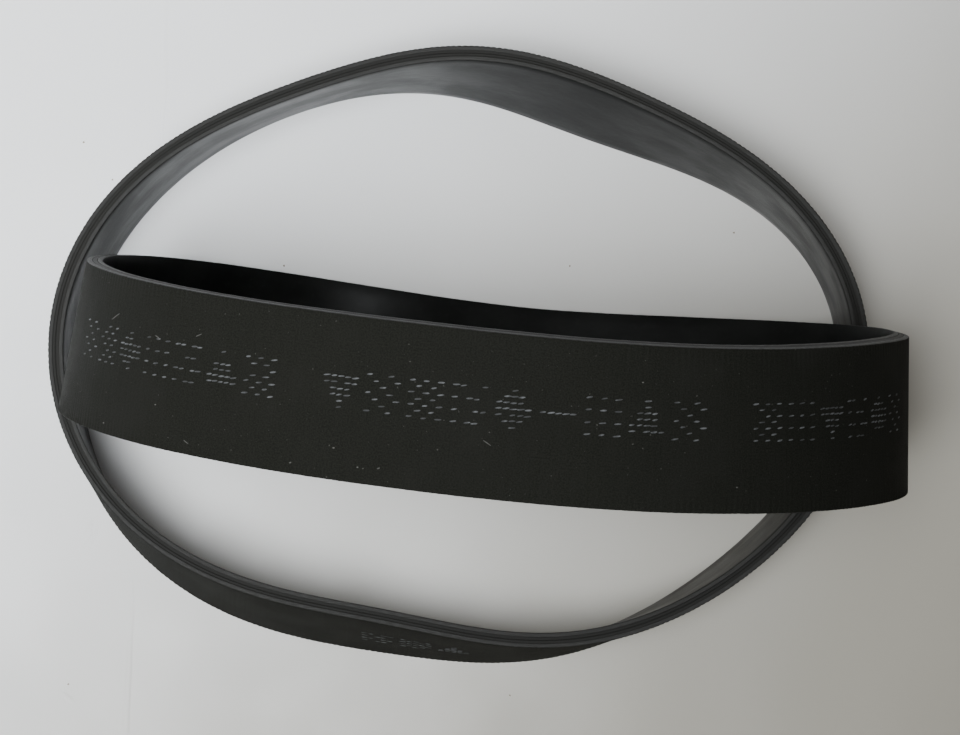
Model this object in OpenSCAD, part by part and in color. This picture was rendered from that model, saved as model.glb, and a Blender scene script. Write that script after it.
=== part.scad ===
// A pair of flat, endless rubber drive belts, as they lie when they are put down together.
// The lower belt stands on its cut edge as an open oval. The upper belt stands upright inside it, like a hoop.
// Both belts have the same length, width, thickness and layers. Millimetres, +Z up, resting on Z = 0.

/* [Belt] */
// Length of each belt, measured round the middle of its thickness
belt_length = 283; // [274:1:294]
// Width of each belt, from cut edge to cut edge
belt_width = 19; // [17:0.5:20]
// Thickness of each belt, from the ground back to the smooth drive face
belt_thickness = 2; // [1.8:0.1:2.2]

/* [Layers] */
// Thickness of the ground back cover
back_cover_t = 0.65; // [0.5:0.05:0.7]
// Thickness of the smooth drive cover
drive_cover_t = 0.65; // [0.5:0.05:0.7]
// Side of a tensile cord's square section
cord_size = 0.4; // [0.2:0.05:0.5]
// Turns that each of the two tensile cords makes round the belt
cord_turns = 5; // [2:1:6]

/* [Lower belt] */
// How oval the lower belt lies, as a share of its mean radius
lower_oval = 0.162; // [0.12:0.002:0.17]
// How far the lower belt's rim leans out from its foot at the steepest place
lower_lean = 2.6; // [0:0.1:3]

/* [Upper belt] */
// How oval the upper belt stands, as a share of its mean radius
upper_oval = 0.192; // [0.14:0.002:0.21]
// How far the upper belt's top leans towards the near side, from its mid height
upper_lean = 5.4; // [0:0.1:6]
// How far the upper belt's two ends bow towards the far side
upper_bow = 1.3; // [0:0.1:2]
// Tilt of the upper belt's oval in its own plane, right end up, in degrees
upper_tilt = 12.5; // [0:0.5:15]
// Turn of the upper belt about the vertical, in degrees
upper_turn = -5.7; // [-8:0.1:4]

/* [Hidden] */

// Stations round a belt at which its section is placed
stations = 72;
// Heights above the middle of the thickness at which one layer meets the next
back_face = belt_thickness / 2;
outer_joint = back_face - back_cover_t;
drive_face = -belt_thickness / 2;
inner_joint = drive_face + drive_cover_t;
// Width that the cords leave bare beside each cut edge
cord_margin = 1.2;

// A belt's shape is described by waves round its loop. Each wave is [height, direction in degrees], and the
// first in a list has its stated number of lobes, the next has one more, and so on.
// Outlines are shares of the mean radius and begin with two lobes. Leans and drifts are in mm and begin with one.
// Lean is how far the section's upper side stands out beyond its lower side, and drift moves it along the axis.
lower_belt = [
    [[lower_oval, -3], [0.0085, -22], [0.026, 7.5], [0.01, 9]],
    0, [[lower_lean, 57], [0.6, -18], [1.5, -54.5], [0.63, -23]],
    0, []
];
upper_belt = [
    [[upper_oval, upper_tilt], [0.041, -17], [0.015, -27]],
    0.9, [[0.67, 96], [1.5, 35]],
    4.7, [[upper_lean, 90], [upper_bow, -83], [0.88, 40]]
];
function outline(belt) = belt[0];
function lean_mean(belt) = belt[1];
function lean_waves(belt) = belt[2];
function drift_mean(belt) = belt[3];
function drift_waves(belt) = belt[4];
function is_upright(belt) = belt == upper_belt;

function total(values, i = 0) = i < len(values) ? values[i] + total(values, i + 1) : 0;

// Sum of waves at the angle a, and its slope per radian
function waves(a, list, lobes) =
    total([for (i = [0:1:len(list) - 1]) list[i][0] * cos((lobes + i) * (a - list[i][1]))]);
function waves_slope(a, list, lobes) =
    total([for (i = [0:1:len(list) - 1]) -(lobes + i) * list[i][0] * sin((lobes + i) * (a - list[i][1]))]);

function station_angle(i) = i * 360 / stations;
function unit_radius(belt, a) = 1 + waves(a, outline(belt), 2);
function unit_point(belt, a) = unit_radius(belt, a) * [cos(a), sin(a)];

// Mean radius at which the loop's outline has the belt's length
function unit_length(belt) = total([
    for (i = [0:stations - 1])
        norm(unit_point(belt, station_angle(i + 1)) - unit_point(belt, station_angle(i)))
]);
lower_radius = belt_length / unit_length(lower_belt);
upper_radius = belt_length / unit_length(upper_belt);
function mean_radius(belt) = is_upright(belt) ? upper_radius : lower_radius;

// Unit vector that points out of the loop, square to its outline
function outward(belt, a) =
    let (radius = unit_radius(belt, a), slope = waves_slope(a, outline(belt), 2))
    (radius * [cos(a), sin(a)] - slope * [-sin(a), cos(a)]) / norm([radius, slope]);

// Point of a belt in its own frame: the loop lies in XY and its axis is Z.
// depth is measured outwards from the middle of the thickness, side runs from -0.5 to 0.5 across the width.
function belt_point(belt, a, depth, side) =
    let (
        lean = lean_mean(belt) + waves(a, lean_waves(belt), 1),
        drift = drift_mean(belt) + waves(a, drift_waves(belt), 1),
        flat = mean_radius(belt) * unit_point(belt, a) + outward(belt, a) * (depth + lean * side)
    )
    [flat.x, flat.y, drift + side * belt_width];

// The lower belt lies with its axis upright, and the upper belt stands with its axis level
function turned(p, turn) = [p.x * cos(turn) - p.y * sin(turn), p.x * sin(turn) + p.y * cos(turn), p.z];
function laid(belt, p) = is_upright(belt) ? turned([p.x, -p.z, p.y], upper_turn) : p;

// Corners of a belt's back, which bound it, and the box that holds them
function back_corners(belt) = [
    for (i = [0:stations - 1])
        for (side = [-0.5, 0.5])
            laid(belt, belt_point(belt, station_angle(i), back_face, side))
];
function lowest(points, axis) = min([for (p = points) p[axis]]);
function highest(points, axis) = max([for (p = points) p[axis]]);

// Places of the two loops' centres: beside each other as they lie, each on Z = 0,
// with the middle of the pair's box over the origin
lower_corners = back_corners(lower_belt);
upper_corners = back_corners(upper_belt);
upper_beside_lower = [3.6, -0.2, 0];
pair_corners = concat(lower_corners, [for (p = upper_corners) p + upper_beside_lower]);
function middle(points, axis) = (lowest(points, axis) + highest(points, axis)) / 2;
pair_shift = -[middle(pair_corners, 0), middle(pair_corners, 1), 0];
lower_centre = pair_shift - [0, 0, lowest(lower_corners, 2)];
upper_centre = pair_shift + upper_beside_lower - [0, 0, lowest(upper_corners, 2)];
function seated(belt, p) = laid(belt, p) + (is_upright(belt) ? upper_centre : lower_centre);

// Four corners of a section of a belt, between two depths and two sides
function section_ring(belt, a, depths, sides) = [
    seated(belt, belt_point(belt, a, depths[0], sides[0])),
    seated(belt, belt_point(belt, a, depths[1], sides[0])),
    seated(belt, belt_point(belt, a, depths[1], sides[1])),
    seated(belt, belt_point(belt, a, depths[0], sides[1]))
];

// Faces between two neighbouring sections. Each face is split from its lower side to its upper side in the
// direction of travel, so layers that touch are split alike.
function wall_faces(this, next) = [
    for (j = [0:3])
        let (k = (j + 1) % 4)
        for (face = j == 3
            ? [[this + j, next + j, this + k], [next + j, next + k, this + k]]
            : [[this + j, next + j, next + k], [this + j, next + k, this + k]])
            face
];

// Endless layer of a belt between two depths
module layer(belt, depths) {
    points = [for (i = [0:stations - 1]) each section_ring(belt, station_angle(i), depths, [-0.5, 0.5])];
    faces = [for (i = [0:stations - 1]) each wall_faces(4 * i, 4 * ((i + 1) % stations))];
    polyhedron(points, faces);
}

// Tensile cord wound round the belt from one edge to the other, started a share of a turn's pitch further on
module cord(belt, start) {
    steps = cord_turns * stations;
    half = cord_size / 2;
    half_side = half / belt_width;
    first_side = -0.5 + cord_margin / belt_width;
    pitch = (1 - 2 * cord_margin / belt_width) / (cord_turns + 0.5);
    points = [
        for (i = [0:steps])
            let (side = first_side + pitch * (i / stations + start))
            each section_ring(belt, station_angle(i), [-half, half], [side - half_side, side + half_side])
    ];
    faces = [
        [0, 1, 2, 3],
        for (i = [0:steps - 1]) each wall_faces(4 * i, 4 * (i + 1)),
        [4 * steps + 3, 4 * steps + 2, 4 * steps + 1, 4 * steps]
    ];
    polyhedron(points, faces);
}

// Outer layer, ground to a matt, fine-ribbed finish
module back_cover(belt) {
    color([0.11, 0.11, 0.1])
        layer(belt, [outer_joint, back_face]);
}

// Adhesion gum laid over the cords
module outer_gum(belt) {
    color([0.05, 0.05, 0.05])
        layer(belt, [0, outer_joint]);
}

// Cord of right-hand twist
module s_cord(belt) {
    color([0.78, 0.76, 0.7])
        cord(belt, 0);
}

// Cord of left-hand twist, wound between the turns of the other
module z_cord(belt) {
    color([0.7, 0.68, 0.6])
        cord(belt, 0.5);
}

// Adhesion gum that the cords are wound on
module inner_gum(belt) {
    color([0.05, 0.05, 0.05])
        layer(belt, [inner_joint, 0]);
}

// Inner layer, smooth, which runs on the pulleys
module drive_cover(belt) {
    color([0.17, 0.17, 0.16])
        layer(belt, [drive_face, inner_joint]);
}

back_cover(lower_belt);  // lower_back_cover
outer_gum(lower_belt);  // lower_outer_gum
s_cord(lower_belt);  // lower_s_cord
z_cord(lower_belt);  // lower_z_cord
inner_gum(lower_belt);  // lower_inner_gum
drive_cover(lower_belt);  // lower_drive_cover
back_cover(upper_belt);  // upper_back_cover
outer_gum(upper_belt);  // upper_outer_gum
s_cord(upper_belt);  // upper_s_cord
z_cord(upper_belt);  // upper_z_cord
inner_gum(upper_belt);  // upper_inner_gum
drive_cover(upper_belt);  // upper_drive_cover
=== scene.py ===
"""Looks for a pair of flat rubber drive belts.

The lower belt stands on its cut edge as an open oval, and the upper belt stands upright inside it, like a
hoop. Lengths are in millimetres, as in the CAD source, and become metres when a mesh, lamp or camera is made.
"""

import math

import bpy
import numpy as np
from mathutils import Matrix, Vector


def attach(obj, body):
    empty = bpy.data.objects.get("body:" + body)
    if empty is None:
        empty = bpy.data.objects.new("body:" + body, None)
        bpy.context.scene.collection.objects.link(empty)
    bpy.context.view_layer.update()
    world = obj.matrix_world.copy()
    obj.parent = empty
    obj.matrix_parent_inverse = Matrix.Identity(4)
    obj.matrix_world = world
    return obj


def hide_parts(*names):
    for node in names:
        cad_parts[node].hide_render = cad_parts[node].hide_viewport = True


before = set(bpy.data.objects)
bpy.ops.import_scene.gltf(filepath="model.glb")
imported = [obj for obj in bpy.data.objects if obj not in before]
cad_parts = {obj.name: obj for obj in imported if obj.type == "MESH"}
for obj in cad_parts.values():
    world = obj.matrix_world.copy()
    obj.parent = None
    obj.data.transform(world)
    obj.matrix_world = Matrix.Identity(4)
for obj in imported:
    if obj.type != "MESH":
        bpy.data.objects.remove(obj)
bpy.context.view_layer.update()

METRES_PER_MM = 0.001
FULL_TURN = 360.0
TOP_ANGLE = 90.0

# ---- The belts' sizes and shapes, the same as in the CAD source ----

BELT_LENGTH = 283.0
BELT_WIDTH = 19.0
BELT_THICKNESS = 2.0
COVER_THICKNESS = 0.65
CAD_STATIONS = 72
LOWER_OVAL = 0.162
LOWER_LEAN = 2.6
UPPER_OVAL = 0.192
UPPER_LEAN = 5.4
UPPER_BOW = 1.3
UPPER_TILT = 12.5
UPPER_TURN = -5.7
UPPER_BESIDE_LOWER = np.array([3.6, -0.2, 0.0])

# Depths are measured outwards from the middle of the thickness.
BACK_FACE = BELT_THICKNESS / 2
OUTER_JOINT = BACK_FACE - COVER_THICKNESS
INNER_JOINT = -OUTER_JOINT
DRIVE_FACE = -BACK_FACE

# ---- Surface detail ----

RIB_COUNT = 400
STATIONS_PER_RIB = 6
SMOOTH_STATIONS_PER_RIB = 2
RIB_DEPTH = 0.08
RIB_SHARE_IN_MIDDLE = 0.15
RIB_EDGE_POWER = 10
RIB_SWAY = 2.2
RIB_SWAY_LOBES = (7, 19, 43, 71)
RIB_SKEW = 0.5
RIB_UNEVENNESS = 0.3
GRAIN_DEPTH = 0.010
CORNER_RADIUS = 0.13
CORNER_BENDS = (30, 60)
EDGE_WANDER = 0.07
EDGE_WANDER_POWER = 8
SLOW_EDGE_LOBES = (3, 5, 9, 14, 23)
FINE_EDGE_LOBES = (61, 97, 149, 211)
GUM_RECESS = 0.015
EDGE_SAMPLES = 4
BACK_SAMPLES = 22
DRIVE_SAMPLES = 14
GUM_SAMPLES = 2
TABLE_STEP = 0.5

# Seeds of the random draws
RIB_SEED = 11
POSITIVE_EDGE_SEED = 21
NEGATIVE_EDGE_SEED = 31
GRAIN_SEED = 23
CREASE_SEED = 5
FLECK_SEED = 6

# ---- Printed marks: cells of short dashes along the middle of the back ----

MARK_PITCH = 5.08
MARK_COLUMNS = 5
MARK_ROWS = 7
COLUMN_PITCH = 0.84
ROW_PITCH = 0.70
MISSED_DASHES = 0.04
DASH_LENGTH = 0.72
DASH_WIDTH = 0.15
DASH_SLANT = 0.12
DASH_RUN_ERROR = 0.03
DASH_SIDE_ERROR = 0.02
INK_THICKNESS = 0.02
INK_SPREAD = 0.025

# A dash's half width, as a share of its width, at places along it that are shares of its length
DASH_PLACES = np.array([-0.5, -0.3, 0.0, 0.3, 0.5])
DASH_HALF_WIDTHS = np.array([0.0, 0.4, 0.5, 0.4, 0.0])

# Shapes with no meaning, each one a list of rows from the top
MARK_SHAPES = {
    "diamond": ["..#..", ".###.", "#####", "#####", "#####", ".###.", "..#.."],
    "peak": ["..#..", "..#..", ".###.", ".###.", "#####", "#####", "....."],
    "valley": [".....", "#####", "#####", ".###.", ".###.", "..#..", "..#.."],
    "checks": ["#.#.#", ".#.#.", "#.#.#", ".#.#.", "#.#.#", ".#.#.", "#.#.#"],
    "hatch": ["#..#.", ".#..#", "..#..", "#..#.", ".#..#", "..#..", "#..#."],
    "bricks": ["##.##", ".....", "#.##.", ".....", "##.##", ".....", "#.##."],
    "dots": ["#.#.#", ".....", "#.#.#", ".....", "#.#.#", ".....", "#.#.#"],
    "dash": [".....", ".....", ".....", "#####", ".....", ".....", "....."],
}
UPPER_MARKS = (
    "hatch checks diamond dots bricks peak checks . "
    "valley hatch checks bricks diamond dash dots peak hatch . "
    "checks dots valley bricks diamond hatch"
).split()
UPPER_CELLS_LEFT_OF_TOP = 11
UPPER_CELL_OFFSET = 0.53
UPPER_ROW_CENTRE = -1.0
LOWER_MARKS = "bricks checks peak".split()
LOWER_MARKS_ANGLE = 262.0

# Lint on the upper belt's back: (millimetres left of the top, side, length, width, slant)
LINT = [
    (50.4, -4.5, 1.6, 0.05, 0.9),
    (41.3, -3.3, 0.9, 0.04, -0.3),
    (34.8, -4.5, 0.8, 0.04, 0.4),
    (35.0, 8.0, 0.7, 0.04, -0.3),
    (49.8, 8.2, 0.30, 0.12, 0.0),
    (40.4, 4.5, 0.26, 0.10, 0.0),
    (20.9, 8.2, 0.24, 0.10, 0.1),
    (15.8, 5.8, 0.26, 0.12, 0.0),
    (12.7, 7.6, 0.22, 0.10, 0.0),
    (10.2, 7.4, 0.28, 0.10, 0.1),
    (-2.0, 3.1, 0.9, 0.03, -0.5),
    (-19.0, -5.2, 0.20, 0.09, 0.0),
    (-31.0, 6.4, 0.20, 0.09, 0.0),
]

# ---- The sheet: ends of its creases, places of flecks of dirt, and the way towards which shade is painted on it ----

SHEET_HALF = 1500.0
SHEET_LINES = 61
SHEET_CROWDING = 1.8
# Painted shade on the sheet: the way towards which its colour turns grey, and the distances along it where
# that starts and ends.
SHEET_SHADE_TOWARDS = (0.62, -0.78, 0.0)
SHEET_SHADE_START = -0.055
SHEET_SHADE_END = 0.062
CREASES = [
    ((-41.1, 62.0), (-41.3, 27.0)),
    ((-44.6, -26.0), (-46.8, -70.0)),
    ((-49.3, -21.5), (-52.2, -26.5)),
    ((-50.4, -20.8), (-51.3, -24.0)),
    ((-54.6, -44.0), (-52.4, -45.6)),
]
CREASE_WIDTH = 0.9
CREASE_HEIGHT = 0.05
CREASE_WANDER = 0.12
CREASE_STEPS = 14
CREASE_CLEARANCE = 0.003
FLECKS = [
    (-52.0, 30.0),
    (-48.1, 24.9),
    (-53.5, -42.9),
    (5.5, -44.4),
    (13.6, 13.2),
    (35.7, 17.7),
    (-24.9, 13.2),
]
FLECK_RADIUS = 0.16
FLECK_HEIGHT = 0.02
FLECK_SIDES = 7

# ---- Light and camera ----

WINDOW_POSITION = (-250, -20, 680)
WINDOW_TARGET = (-180, 140, 0)
WINDOW_SIZE = 500
WINDOW_WATTS = 1.48
WINDOW_COLOUR = (0.95, 0.98, 1.0)
WINDOW_SPREAD = 42
ROOM_COLOUR = (1.0, 0.98, 0.94, 1.0)
ROOM_BRIGHT_SIDE = (-0.64, 0.40, 0.66)
ROOM_SHADE_START = -0.2
ROOM_SHADE_END = 0.9
ROOM_DARKEST = 0.03
ROOM_BRIGHTEST = 0.6
CAMERA_POSITION = (1.496, -35.081, 482.6)
CAMERA_TARGET = (1.496, -0.511, 0.0)
CAMERA_LENS = 135.0
SENSOR_WIDTH = 36.0
CLIP_START = 10
CLIP_END = 5000


# ---- The belts' shapes ----


def stations(count):
    """Angles in degrees that part a turn evenly."""
    return np.arange(count) * FULL_TURN / count


def direction(angle):
    """Unit vectors at angles in degrees."""
    return np.stack([np.cos(np.radians(angle)), np.sin(np.radians(angle))], axis=-1)


def waves(angle, terms, lobes):
    """The sum of waves, of which the first has a number of lobes and each next one has one more."""
    total = np.zeros_like(angle, dtype=float)
    for extra, (height, towards) in enumerate(terms):
        total += height * np.cos((lobes + extra) * np.radians(angle - towards))
    return total


def waves_slope(angle, terms, lobes):
    """The slope of the same sum, for each radian."""
    total = np.zeros_like(angle, dtype=float)
    for extra, (height, towards) in enumerate(terms):
        count = lobes + extra
        total -= count * height * np.sin(count * np.radians(angle - towards))
    return total


class Belt:
    """A belt's shape as waves round its loop. Each wave is (height, direction in degrees).

    The outline's waves are shares of the mean radius and begin with two lobes. The waves of the lean (how far
    the positive side of a section stands out beyond its negative side) and of the drift along the axis are in
    millimetres and begin with one lobe. The roll is how far the back moves to the positive side for each
    millimetre of depth, so that a section turns with its strand.
    """

    def __init__(
        self, name, upright, outline, lean_mean, lean, drift_mean=0.0, drift=(), roll_mean=0.0, roll=()
    ):
        self.body = name + "_belt"
        self.name = name
        self.upright = upright
        self.outline = outline
        self.lean_mean = lean_mean
        self.lean = lean
        self.drift_mean = drift_mean
        self.drift = drift
        self.roll_mean = roll_mean
        self.roll = roll
        self.mean_radius = self.find_mean_radius()
        self.centre = np.zeros(3)
        self.measure_back()

    def find_mean_radius(self):
        """The mean radius at which the CAD's straight sides add up to the belt's length."""
        angle = stations(CAD_STATIONS)
        corners = (1 + waves(angle, self.outline, 2))[:, None] * direction(angle)
        sides = corners - np.roll(corners, 1, axis=0)
        return BELT_LENGTH / np.linalg.norm(sides, axis=1).sum()

    def points(self, angle, depth, side):
        """Points at angles round the loop, at depths, and at distances from the middle of the width."""
        angle, depth, side = np.broadcast_arrays(angle, depth, side)
        radius = 1 + waves(angle, self.outline, 2)
        slope = waves_slope(angle, self.outline, 2)
        outward = radius[..., None] * direction(angle) - slope[..., None] * direction(angle + 90)
        outward = outward / np.hypot(radius, slope)[..., None]
        lean = self.lean_mean + waves(angle, self.lean, 1)
        drift = self.drift_mean + waves(angle, self.drift, 1)
        middle = self.mean_radius * radius[..., None] * direction(angle)
        flat = middle + outward * (depth + lean * side / BELT_WIDTH)[..., None]
        roll = depth * (self.roll_mean + waves(angle, self.roll, 1))
        own = np.concatenate([flat, (drift + roll + side)[..., None]], axis=-1)
        return self.laid(own) + self.centre

    def laid(self, own):
        """The lower belt lies with its axis upright, and the upper belt stands with its axis level."""
        if not self.upright:
            return own
        turn = math.radians(UPPER_TURN)
        x, y, z = own[..., 0], -own[..., 2], own[..., 1]
        turned_x = x * math.cos(turn) - y * math.sin(turn)
        turned_y = x * math.sin(turn) + y * math.cos(turn)
        return np.stack([turned_x, turned_y, z], axis=-1)

    def back_corners(self):
        """The corners of the back at the CAD's stations, from which the pair is centred."""
        angle = stations(CAD_STATIONS)[:, None]
        sides = np.array([[-BELT_WIDTH / 2, BELT_WIDTH / 2]])
        return self.points(angle, BACK_FACE, sides).reshape(-1, 3)

    def measure_back(self):
        """Keeps a table of the distance along the back at each angle, over three turns."""
        self.table_angle = np.arange(-FULL_TURN, 2 * FULL_TURN + TABLE_STEP / 2, TABLE_STEP)
        line = self.points(self.table_angle, BACK_FACE, 0.0)
        steps = np.linalg.norm(np.diff(line, axis=0), axis=1)
        self.table_run = np.concatenate([[0.0], np.cumsum(steps)])
        self.back_length = self.table_run[-1] / 3
        self.table_run -= self.back_length

    def angle_of(self, run):
        """Angles at distances along the back from angle zero."""
        return np.interp(run, self.table_run, self.table_angle)

    def run_of(self, angle):
        """Distances along the back from angle zero, at angles."""
        return np.interp(angle, self.table_angle, self.table_run)


def make_belts():
    """Both belts where they stand, with the pair centred over the origin and resting on Z = 0."""
    lower = Belt(
        "lower",
        upright=False,
        outline=[(LOWER_OVAL, -3), (0.0085, -22), (0.026, 7.5), (0.01, 9)],
        lean_mean=0.0,
        lean=[(LOWER_LEAN, 57), (0.6, -18), (1.5, -54.5), (0.63, -23)],
    )
    upper = Belt(
        "upper",
        upright=True,
        outline=[(UPPER_OVAL, UPPER_TILT), (0.041, -17), (0.015, -27)],
        lean_mean=0.9,
        lean=[(0.67, 96), (1.5, 35)],
        drift_mean=4.7,
        drift=[(UPPER_LEAN, 90), (UPPER_BOW, -83), (0.88, 40)],
        roll_mean=0.13,
        roll=[(0.16, 75)],
    )
    lower_corners = lower.back_corners()
    upper_corners = upper.back_corners()
    pair = np.concatenate([lower_corners, upper_corners + UPPER_BESIDE_LOWER])
    shift = -(pair.min(axis=0) + pair.max(axis=0)) / 2
    shift[2] = 0.0
    lower.centre = shift - [0, 0, lower_corners[:, 2].min()]
    upper.centre = shift + UPPER_BESIDE_LOWER - [0, 0, upper_corners[:, 2].min()]
    return lower, upper


# ---- Meshes ----


def mesh_object(name, points, faces, materials, face_materials=None, corner_uvs=None):
    """A smooth-shaded mesh from points in millimetres."""
    mesh = bpy.data.meshes.new(name)
    mesh.from_pydata((np.asarray(points) * METRES_PER_MM).tolist(), [], np.asarray(faces).tolist())
    for material in materials:
        mesh.materials.append(material)
    if face_materials is not None:
        mesh.polygons.foreach_set("material_index", np.asarray(face_materials, dtype=np.int32))
    if corner_uvs is not None:
        layer = mesh.uv_layers.new(name="belt")
        layer.data.foreach_set("uv", np.asarray(corner_uvs, dtype=np.float32).ravel())
    mesh.polygons.foreach_set("use_smooth", np.ones(len(mesh.polygons), dtype=bool))
    mesh.update()
    piece = bpy.data.objects.new(name, mesh)
    bpy.context.scene.collection.objects.link(piece)
    return piece


def slow_wander(turn, seed, lobes):
    """Smooth random wandering between -1 and 1 round a loop, from waves with the given lobe counts."""
    random = np.random.default_rng(seed)
    total = np.zeros_like(turn, dtype=float)
    for count in lobes:
        total += random.uniform(0.4, 1.0) * np.sin(count * turn + random.uniform(0, 2 * math.pi))
    return total / len(lobes)


def rib_drop(turn, side):
    """How far the ribs of the ground back fall below its full height, at turns round the loop in radians."""
    sway = RIB_SWAY * slow_wander(turn, RIB_SEED, RIB_SWAY_LOBES)
    skew = RIB_SKEW * np.sin(0.6 * side + 5 * turn)
    patches = np.sin(31 * turn + 0.4 * side) * np.sin(83 * turn - 0.23 * side)
    uneven = 1 - RIB_UNEVENNESS + RIB_UNEVENNESS * patches
    towards_edge = np.abs(2 * side / BELT_WIDTH) ** RIB_EDGE_POWER
    deeper_at_edges = RIB_SHARE_IN_MIDDLE + (1 - RIB_SHARE_IN_MIDDLE) * towards_edge
    groove = (0.5 - 0.5 * np.cos(RIB_COUNT * turn + sway + skew)) ** 2
    return RIB_DEPTH * uneven * deeper_at_edges * groove


def edge_drop(turn, seed):
    """How far a cut edge falls inside the belt's full width."""
    slow = slow_wander(turn, seed, SLOW_EDGE_LOBES)
    fine = slow_wander(turn, seed + 1, FINE_EDGE_LOBES)
    return EDGE_WANDER * np.clip(0.5 + 0.4 * slow + 0.25 * fine, 0, 1)


class Section:
    """The outline of one layer's section, from its joint over its positive cut edge and face, and back."""

    def __init__(self, joint, face, rounded, face_samples, recess=0.0):
        half = BELT_WIDTH / 2 - recess
        radius = CORNER_RADIUS if rounded else 0.0
        towards_joint = math.copysign(radius, joint - face)
        edge_depth = np.linspace(joint, face + towards_joint, EDGE_SAMPLES)
        bend = np.radians(CORNER_BENDS) if rounded else np.array([])
        corner_depth = face + towards_joint * (1 - np.sin(bend))
        corner_side = half - radius * (1 - np.cos(bend))
        face_side = np.linspace(half - radius, radius - half, face_samples)
        self.depth = np.concatenate(
            [edge_depth, corner_depth, np.full(face_samples, face), corner_depth[::-1], edge_depth[::-1]]
        )
        edge_side = np.full(len(edge_depth), half)
        self.side = np.concatenate([edge_side, corner_side, face_side, -corner_side[::-1], -edge_side])
        self.outwards = face > joint
        self.on_face = np.zeros(len(self.depth), dtype=bool)
        first = len(edge_depth) + len(bend) // 2
        self.on_face[first : len(self.depth) - first - 1] = True
        self.share_of_depth = (self.depth - joint) / (face - joint)


def ring_points(belt, section, station_count, ribbed):
    """The points of a ring, as the section's samples at each station."""
    share = np.arange(station_count) / station_count
    angle = belt.angle_of(share * belt.back_length)[:, None]
    turn = (2 * math.pi * share)[:, None]
    side = np.broadcast_to(section.side, (station_count, len(section.side)))
    depth = np.broadcast_to(section.depth, side.shape)
    if ribbed:
        grain = GRAIN_DEPTH * np.random.default_rng(GRAIN_SEED).random(side.shape)
        depth = depth - (rib_drop(turn, side) + grain) * section.share_of_depth
    drop = np.where(side > 0, edge_drop(turn, POSITIVE_EDGE_SEED), edge_drop(turn, NEGATIVE_EDGE_SEED))
    side = side - np.sign(side) * drop * np.abs(2 * side / BELT_WIDTH) ** EDGE_WANDER_POWER
    return belt.points(angle, depth, side)


def ring_piece(name, belt, section, station_count, materials, ribbed):
    """A closed ring with a section's shape.

    The first material is for its face and the second for its cut edges. Its surface coordinates are the
    distances along the belt and across the section, in millimetres.
    """
    grid = ring_points(belt, section, station_count, ribbed)
    samples = len(section.side)
    station, sample = np.meshgrid(np.arange(station_count), np.arange(samples), indexing="ij")
    outline = np.stack([section.depth, section.side], axis=-1)
    lengths = np.linalg.norm(np.roll(outline, -1, axis=0) - outline, axis=1)
    across = np.concatenate([[0.0], np.cumsum(lengths)])
    along_step = belt.back_length / station_count
    corner_steps = [(0, 0), (0, 1), (1, 1), (1, 0)]
    if not section.outwards:
        corner_steps.reverse()
    corners = []
    uvs = []
    for station_step, sample_step in corner_steps:
        row = (station + station_step) % station_count
        column = (sample + sample_step) % samples
        corners.append(row * samples + column)
        along = (station + station_step) * along_step
        uvs.append(np.stack([along, across[sample + sample_step]], axis=-1))
    face_materials = np.broadcast_to(np.where(section.on_face, 0, 1), station.shape)
    return mesh_object(
        name,
        grid.reshape(-1, 3),
        np.stack(corners, axis=-1).reshape(-1, 4),
        materials,
        face_materials.ravel(),
        np.stack(uvs, axis=2).reshape(-1, 2),
    )


def make_layers(belt, materials):
    """The four rubber layers of a belt, each of which stands for the CAD node with its name."""
    ribbed_stations = RIB_COUNT * STATIONS_PER_RIB
    smooth_stations = RIB_COUNT * SMOOTH_STATIONS_PER_RIB
    back = Section(OUTER_JOINT, BACK_FACE, rounded=True, face_samples=BACK_SAMPLES)
    outer_gum = Section(0.0, OUTER_JOINT, rounded=False, face_samples=GUM_SAMPLES, recess=GUM_RECESS)
    inner_gum = Section(0.0, INNER_JOINT, rounded=False, face_samples=GUM_SAMPLES, recess=GUM_RECESS)
    drive = Section(INNER_JOINT, DRIVE_FACE, rounded=True, face_samples=DRIVE_SAMPLES)
    layers = [
        ("back_cover", back, ribbed_stations, "ground_rubber", "cut_rubber", True),
        ("outer_gum", outer_gum, smooth_stations, "gum", "gum", False),
        ("inner_gum", inner_gum, smooth_stations, "gum", "gum", False),
        ("drive_cover", drive, smooth_stations, "smooth_rubber", "cut_rubber", False),
    ]
    for layer, section, count, face_look, edge_look, ribbed in layers:
        node = belt.name + "_" + layer
        looks = [materials[face_look], materials[edge_look]]
        piece = ring_piece(node + "_rubber", belt, section, count, looks, ribbed)
        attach(piece, belt.body)
        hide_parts(node)


def dash(belt, run, side, length, width, slant):
    """A thin slanting patch on the back, with its length along the belt, which follows the ribs below it."""
    halves = DASH_HALF_WIDTHS * width + INK_SPREAD
    runs = run + DASH_PLACES * length
    side = side + DASH_PLACES * slant
    angle = belt.angle_of(runs)
    turn = 2 * math.pi * runs / belt.back_length
    top = BACK_FACE - rib_drop(turn, side) + INK_THICKNESS
    rows = []
    for height in (top - 3 * INK_THICKNESS, top):
        for sign in (-1, 1):
            rows.append(belt.points(angle, height, side + sign * halves))
    return np.concatenate(rows)


def dash_faces():
    """Faces of a dash's points, which are two rows below and two above, each first on the negative side."""
    count = len(DASH_PLACES)
    last = count - 1
    low_left, low_right, high_left, high_right = (count * row for row in range(4))
    strips = [(high_left, high_right), (low_right, low_left), (low_left, high_left), (high_right, low_right)]
    faces = []
    for a, b in strips:
        for step in range(last):
            faces.append((a + step, a + step + 1, b + step + 1, b + step))
    faces.append((low_left, low_right, high_right, high_left))
    faces.append((low_left + last, high_left + last, high_right + last, low_right + last))
    return np.array(faces)


def dashes_object(name, dashes, look):
    """One mesh of many dashes."""
    faces = dash_faces()
    all_faces = np.concatenate([faces + index * len(dashes[0]) for index in range(len(dashes))])
    return mesh_object(name, np.concatenate(dashes), all_faces, [look])


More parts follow.
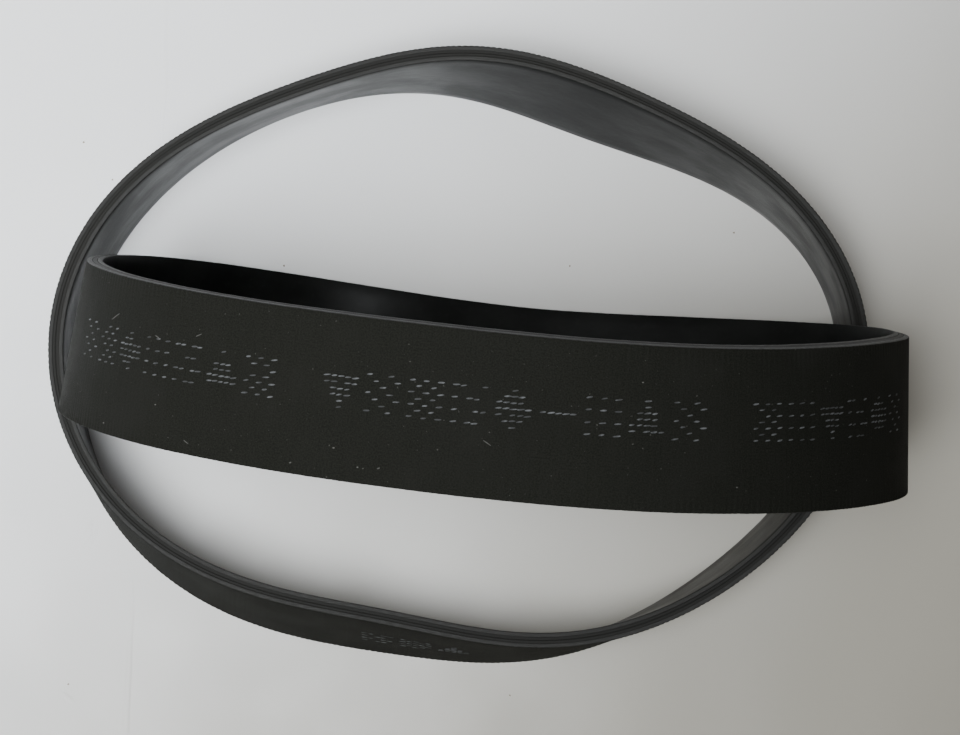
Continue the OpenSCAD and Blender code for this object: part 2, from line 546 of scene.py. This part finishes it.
def make_marks(belt, cells, first_run, cell_step, row_centre, row_sign, ink):
    """Cells of dashes from first_run on.

    cell_step is signed, and so is row_sign, which is the side towards which rows go down. The number of cells
    is also the seed of the small errors in where the dashes lie.
    """
    random = np.random.default_rng(len(cells))
    cell_sign = math.copysign(1, cell_step)
    dashes = []
    for place, shape in enumerate(cells):
        if shape == ".":
            continue
        for row, pattern in enumerate(MARK_SHAPES[shape]):
            for column, mark in enumerate(pattern):
                if mark == "." or random.random() < MISSED_DASHES:
                    continue
                column_run = (column - (MARK_COLUMNS - 1) / 2) * COLUMN_PITCH * cell_sign
                run = first_run + place * cell_step + column_run + random.normal(0, DASH_RUN_ERROR)
                down = (row - (MARK_ROWS - 1) / 2) * ROW_PITCH * row_sign
                side = row_centre + down + random.normal(0, DASH_SIDE_ERROR)
                length = DASH_LENGTH * random.uniform(0.85, 1.2)
                width = DASH_WIDTH * random.uniform(0.75, 1.15)
                slant = -row_sign * cell_sign * DASH_SLANT * random.uniform(0.5, 1.4)
                dashes.append(dash(belt, run, side, length, width, slant))
    piece = dashes_object(belt.name + "_marks", dashes, ink)
    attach(piece, belt.body)


def make_lint(belt, look):
    """Hairs and specks of dust that cling to the back."""
    top_run = belt.run_of(TOP_ANGLE)
    dashes = [dash(belt, top_run + left, side, *size_and_slant) for left, side, *size_and_slant in LINT]
    piece = dashes_object(belt.name + "_lint", dashes, look)
    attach(piece, belt.body)


# ---- Materials ----


class Look:
    """A material with one Principled shader, built up from noise.

    The noise lies in the belt's surface coordinates, in millimetres, or in the piece's own ones, in metres.
    """

    def __init__(self, name, roughness, specular=0.5, surface_coordinates=True):
        self.material = bpy.data.materials.new(name)
        self.material.use_nodes = True
        self.tree = self.material.node_tree
        self.shader = self.tree.nodes["Principled BSDF"]
        self.shader.inputs["Roughness"].default_value = roughness
        self.shader.inputs["Specular IOR Level"].default_value = specular
        self.bump_height = None
        if surface_coordinates:
            source = self.tree.nodes.new("ShaderNodeUVMap")
            source.uv_map = "belt"
            self.place = source.outputs["UV"]
        else:
            source = self.tree.nodes.new("ShaderNodeTexCoord")
            self.place = source.outputs["Object"]

    def link(self, start, end):
        self.tree.links.new(start, end)

    def noise(self, scale, detail=4.0, roughness=0.55, stretch=(1, 1, 1)):
        """Noise with a scale in repeats for each unit of the coordinates, stretched by shares along each."""
        mapping = self.tree.nodes.new("ShaderNodeMapping")
        mapping.inputs["Scale"].default_value = stretch
        texture = self.tree.nodes.new("ShaderNodeTexNoise")
        texture.inputs["Scale"].default_value = scale
        texture.inputs["Detail"].default_value = detail
        texture.inputs["Roughness"].default_value = roughness
        self.link(self.place, mapping.inputs["Vector"])
        self.link(mapping.outputs["Vector"], texture.inputs["Vector"])
        return texture.outputs["Fac"]

    def ramp(self, value, start, end, low=0.0, high=1.0):
        """The value's range from start to end, mapped onto low to high."""
        node = self.tree.nodes.new("ShaderNodeMapRange")
        node.interpolation_type = "SMOOTHSTEP"
        node.inputs["From Min"].default_value = start
        node.inputs["From Max"].default_value = end
        node.inputs["To Min"].default_value = low
        node.inputs["To Max"].default_value = high
        self.link(value, node.inputs["Value"])
        return node.outputs["Result"]

    def mix(self, share, first, second):
        """A colour between first and second, each of which is a colour or a socket."""
        node = self.tree.nodes.new("ShaderNodeMix")
        node.data_type = "RGBA"
        self.link(share, node.inputs["Factor"])
        for socket, colour in ((node.inputs[6], first), (node.inputs[7], second)):
            if isinstance(colour, tuple):
                socket.default_value = (*colour, 1.0)
            else:
                self.link(colour, socket)
        return node.outputs[2]

    def colour(self, socket):
        self.link(socket, self.shader.inputs["Base Color"])

    def rough(self, socket):
        self.link(socket, self.shader.inputs["Roughness"])

    def bump(self, height, distance_mm):
        """Adds a bump, on top of any that is there."""
        node = self.tree.nodes.new("ShaderNodeBump")
        node.inputs["Strength"].default_value = 1.0
        node.inputs["Distance"].default_value = distance_mm * METRES_PER_MM
        self.link(height, node.inputs["Height"])
        if self.bump_height is not None:
            self.link(self.bump_height, node.inputs["Normal"])
        self.bump_height = node.outputs["Normal"]
        self.link(self.bump_height, self.shader.inputs["Normal"])


def make_ground_rubber():
    """Matt rubber with a fine grain, faint streaks across the belt, dust and a few pale specks."""
    black, charcoal = (0.0066, 0.0071, 0.0055), (0.0154, 0.0161, 0.0128)
    streak, dust, speck = (0.016, 0.016, 0.014), (0.019, 0.019, 0.017), (0.12, 0.12, 0.11)
    look = Look("ground_rubber", roughness=0.8, specular=0.09)
    streaks = look.noise(1.4, detail=3, stretch=(1.0, 0.15, 1))
    clouds = look.noise(0.07, detail=4)
    grain = look.noise(5.0, detail=3, roughness=0.7)
    specks = look.noise(2.6, detail=2, roughness=0.4)
    grained = look.mix(look.ramp(grain, 0.35, 0.65), black, charcoal)
    streaked = look.mix(look.ramp(streaks, 0.35, 0.7, high=0.2), grained, streak)
    dusty = look.mix(look.ramp(clouds, 0.45, 0.7, high=0.35), streaked, dust)
    look.colour(look.mix(look.ramp(specks, 0.72, 0.79, high=0.6), dusty, speck))
    look.rough(look.ramp(clouds, 0.35, 0.65, low=0.74, high=0.86))
    look.bump(look.noise(5.0, detail=6, roughness=0.7), 0.06)
    return look.material


def make_smooth_rubber():
    """Moulded rubber with smears along the belt and a faint pale bloom."""
    black, grey, bloom_grey = (0.0060, 0.0066, 0.0063), (0.0095, 0.0103, 0.0098), (0.018, 0.0195, 0.0195)
    look = Look("smooth_rubber", roughness=0.35, specular=0.05)
    smears = look.noise(0.10, detail=4, stretch=(1, 1.6, 1))
    bloom = look.noise(0.9, detail=5, roughness=0.65)
    smeared = look.mix(look.ramp(smears, 0.35, 0.7), black, grey)
    look.colour(look.mix(look.ramp(bloom, 0.5, 0.75, high=0.2), smeared, bloom_grey))
    look.rough(look.ramp(smears, 0.35, 0.65, low=0.30, high=0.40))
    look.bump(look.noise(0.8, detail=5), 0.02)
    look.bump(look.noise(9.0, detail=3), 0.005)
    return look.material


def make_cut_rubber():
    """A cut edge, with drag lines along the cut and paler patches."""
    black, grey, pale = (0.008, 0.008, 0.007), (0.013, 0.0128, 0.0113), (0.018, 0.0177, 0.016)
    look = Look("cut_rubber", roughness=0.5, specular=0.32)
    drag = look.noise(2.2, detail=5, stretch=(0.5, 3.0, 1))
    patches = look.noise(0.12, detail=3)
    dragged = look.mix(look.ramp(drag, 0.35, 0.68), black, grey)
    look.colour(look.mix(look.ramp(patches, 0.4, 0.7, high=0.3), dragged, pale))
    look.rough(look.ramp(drag, 0.3, 0.7, low=0.5, high=0.7))
    look.bump(look.noise(4.0, detail=6, roughness=0.65, stretch=(0.6, 2.0, 1)), 0.04)
    return look.material


def make_gum():
    """The gum between the cords and the covers, which shows only at the cut edges."""
    look = Look("gum", roughness=0.65, specular=0.2)
    grain = look.noise(3.0, detail=4)
    look.colour(look.mix(grain, (0.0075, 0.0075, 0.0066), (0.0125, 0.0122, 0.0108)))
    look.bump(grain, 0.03)
    return look.material


def make_cord(name, hand):
    """Twisted polyester cord, whose strands slope one way or the other."""
    look = Look(name, roughness=0.9, specular=0.2, surface_coordinates=False)
    strands = look.noise(1800, detail=2, stretch=(1, 0.4 * hand, 0.5))
    look.colour(look.mix(strands, (0.30, 0.27, 0.22), (0.55, 0.51, 0.44)))
    look.bump(strands, 0.05)
    return look.material


def make_ink():
    """Pale grey ink, worn thin in places."""
    thin, full = (0.045, 0.047, 0.048), (0.13, 0.136, 0.142)
    look = Look("ink", roughness=0.75, specular=0.3, surface_coordinates=False)
    wear = look.noise(900, detail=4)
    look.colour(look.mix(look.ramp(wear, 0.4, 0.65), thin, full))
    look.bump(wear, 0.02)
    return look.material


def make_fluff():
    """Grey lint."""
    look = Look("lint", roughness=0.9, specular=0.2, surface_coordinates=False)
    look.colour(look.mix(look.noise(500, detail=2), (0.07, 0.07, 0.065), (0.16, 0.16, 0.15)))
    return look.material


def make_dirt():
    """Brown dirt, for the flecks on the sheet."""
    look = Look("dirt", roughness=0.9, specular=0.2, surface_coordinates=False)
    look.colour(look.mix(look.noise(2000, detail=2), (0.16, 0.13, 0.09), (0.30, 0.26, 0.20)))
    return look.material


def make_white_sheet():
    """Glossy white sheet, with painted shade: greyer and warmer towards the near right."""
    cool_white, painted_shade_grey = (0.89, 0.90, 0.915), (0.40, 0.377, 0.32)
    look = Look("sheet", roughness=0.36, surface_coordinates=False)
    towards_shade = look.tree.nodes.new("ShaderNodeVectorMath")
    towards_shade.operation = "DOT_PRODUCT"
    towards_shade.inputs[1].default_value = SHEET_SHADE_TOWARDS
    look.link(look.place, towards_shade.inputs[0])
    painted_shade = look.ramp(towards_shade.outputs["Value"], SHEET_SHADE_START, SHEET_SHADE_END)
    # Painted shade: the light's falloff towards the near right is painted into the sheet's colour, from white
    # to warm grey.
    look.colour(look.mix(painted_shade, cool_white, painted_shade_grey))
    look.rough(look.ramp(look.noise(40, detail=4), 0.3, 0.7, low=0.32, high=0.42))
    look.bump(look.noise(14, detail=2), 1.2)
    look.bump(look.noise(700, detail=3), 0.012)
    return look.material


# ---- Stage ----


def make_sheet(look):
    """The glossy white sheet that the belts stand on, with its mesh closest in the middle."""
    line = np.linspace(-1, 1, SHEET_LINES)
    line = np.sign(line) * np.abs(line) ** SHEET_CROWDING * SHEET_HALF
    x, y = np.meshgrid(line, line, indexing="ij")
    points = np.stack([x, y, np.zeros_like(x)], axis=-1).reshape(-1, 3)
    i, j = np.meshgrid(np.arange(SHEET_LINES - 1), np.arange(SHEET_LINES - 1), indexing="ij")
    first = i * SHEET_LINES + j
    corners = [first, first + SHEET_LINES, first + SHEET_LINES + 1, first + 1]
    sheet = mesh_object("sheet", points, np.stack(corners, axis=-1).reshape(-1, 4), [look])


def make_creases(look):
    """Low ridges where the sheet was once folded or pinched."""
    random = np.random.default_rng(CREASE_SEED)
    share = np.linspace(0, 1, CREASE_STEPS)[:, None]
    swell = np.sin(math.pi * share)
    rows = ((-0.5, 0.0), (0.0, CREASE_HEIGHT), (0.5, 0.0))
    points = []
    for start, end in CREASES:
        start, end = np.array(start), np.array(end)
        along = (end - start) / np.linalg.norm(end - start)
        beside = np.array([-along[1], along[0]])
        wander = random.normal(0, CREASE_WANDER, (CREASE_STEPS, 1))
        middle = start + share * (end - start) + beside * wander
        for offset, height in rows:
            line = middle + beside * offset * CREASE_WIDTH * swell
            points.append(np.concatenate([line, height * swell + CREASE_CLEARANCE], axis=1))
    faces = []
    for crease in range(len(CREASES)):
        for row in range(len(rows) - 1):
            first = (len(rows) * crease + row) * CREASE_STEPS
            for low in range(first, first + CREASE_STEPS - 1):
                high = low + CREASE_STEPS
                faces.append((high, high + 1, low + 1, low))
    creases = mesh_object("creases", np.concatenate(points), faces, [look])


def make_flecks(look):
    """Dark flecks of dirt on the sheet."""
    random = np.random.default_rng(FLECK_SEED)
    points = []
    for x, y in FLECKS:
        radius = FLECK_RADIUS * random.uniform(0.5, 1.1, (FLECK_SIDES, 1))
        rim = np.array([x, y]) + radius * direction(stations(FLECK_SIDES))
        points.append(np.concatenate([rim, np.full((FLECK_SIDES, 1), FLECK_HEIGHT)], axis=1))
    faces = np.arange(len(FLECKS) * FLECK_SIDES).reshape(-1, FLECK_SIDES)
    flecks = mesh_object("flecks", np.concatenate(points), faces, [look])


def look_at(piece, position, target, up=(0, 0, 1)):
    """Places a lamp or camera, and turns its view towards the target."""
    back = (Vector(position) - Vector(target)).normalized()
    right = Vector(up).cross(back).normalized()
    above = back.cross(right)
    rotation = Matrix((right, above, back)).transposed().to_4x4()
    piece.matrix_world = Matrix.Translation(Vector(position) * METRES_PER_MM) @ rotation


def make_window():
    """A large soft lamp high on the left, whose light falls off towards the near right."""
    lamp = bpy.data.lights.new("window", "AREA")
    lamp.shape = "DISK"
    lamp.size = WINDOW_SIZE * METRES_PER_MM
    lamp.energy = WINDOW_WATTS
    lamp.color = WINDOW_COLOUR
    lamp.spread = math.radians(WINDOW_SPREAD)
    piece = bpy.data.objects.new("window", lamp)
    bpy.context.scene.collection.objects.link(piece)
    look_at(piece, WINDOW_POSITION, WINDOW_TARGET)


def make_room():
    """Dim light from all round, brighter from one side."""
    world = bpy.data.worlds.new("room")
    world.use_nodes = True
    nodes, links = world.node_tree.nodes, world.node_tree.links
    background = nodes["Background"]
    background.inputs["Color"].default_value = ROOM_COLOUR
    place = nodes.new("ShaderNodeTexCoord")
    towards_bright = nodes.new("ShaderNodeVectorMath")
    towards_bright.operation = "DOT_PRODUCT"
    towards_bright.inputs[1].default_value = ROOM_BRIGHT_SIDE
    strength = nodes.new("ShaderNodeMapRange")
    strength.interpolation_type = "SMOOTHSTEP"
    strength.inputs["From Min"].default_value = ROOM_SHADE_START
    strength.inputs["From Max"].default_value = ROOM_SHADE_END
    strength.inputs["To Min"].default_value = ROOM_DARKEST
    strength.inputs["To Max"].default_value = ROOM_BRIGHTEST
    links.new(place.outputs["Generated"], towards_bright.inputs[0])
    links.new(towards_bright.outputs["Value"], strength.inputs["Value"])
    links.new(strength.outputs["Result"], background.inputs["Strength"])
    bpy.context.scene.world = world


def make_camera():
    """A long lens almost straight above, a little on the near side."""
    camera = bpy.data.cameras.new("camera")
    camera.lens = CAMERA_LENS
    camera.sensor_width = SENSOR_WIDTH
    camera.sensor_fit = "HORIZONTAL"
    camera.clip_start = CLIP_START * METRES_PER_MM
    camera.clip_end = CLIP_END * METRES_PER_MM
    piece = bpy.data.objects.new("camera", camera)
    bpy.context.scene.collection.objects.link(piece)
    look_at(piece, CAMERA_POSITION, CAMERA_TARGET, up=(0, 1, 0))
    bpy.context.scene.camera = piece


def colour_cords(belt, looks):
    """Gives the belt's cords, which stay as the CAD made them, a material each."""
    for node, look in looks.items():
        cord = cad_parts[belt.name + node]
        for material_slot in cord.material_slots:
            material_slot.material = look


def main():
    make_camera()
    lower, upper = make_belts()
    materials = {
        "ground_rubber": make_ground_rubber(),
        "smooth_rubber": make_smooth_rubber(),
        "cut_rubber": make_cut_rubber(),
        "gum": make_gum(),
    }
    cord_looks = {"_s_cord": make_cord("s_twist_cord", 1), "_z_cord": make_cord("z_twist_cord", -1)}
    ink = make_ink()
    for belt in (lower, upper):
        make_layers(belt, materials)
        colour_cords(belt, cord_looks)
    upper_first = upper.run_of(TOP_ANGLE) + (UPPER_CELL_OFFSET + UPPER_CELLS_LEFT_OF_TOP * MARK_PITCH)
    make_marks(upper, UPPER_MARKS, upper_first, -MARK_PITCH, UPPER_ROW_CENTRE, 1, ink)
    lower_first = lower.run_of(LOWER_MARKS_ANGLE) - MARK_PITCH
    make_marks(lower, LOWER_MARKS, lower_first, MARK_PITCH, 0.0, -1, ink)
    make_lint(upper, make_fluff())
    sheet_look = make_white_sheet()
    make_sheet(sheet_look)
    make_creases(sheet_look)
    make_flecks(make_dirt())
    make_window()
    make_room()


main()
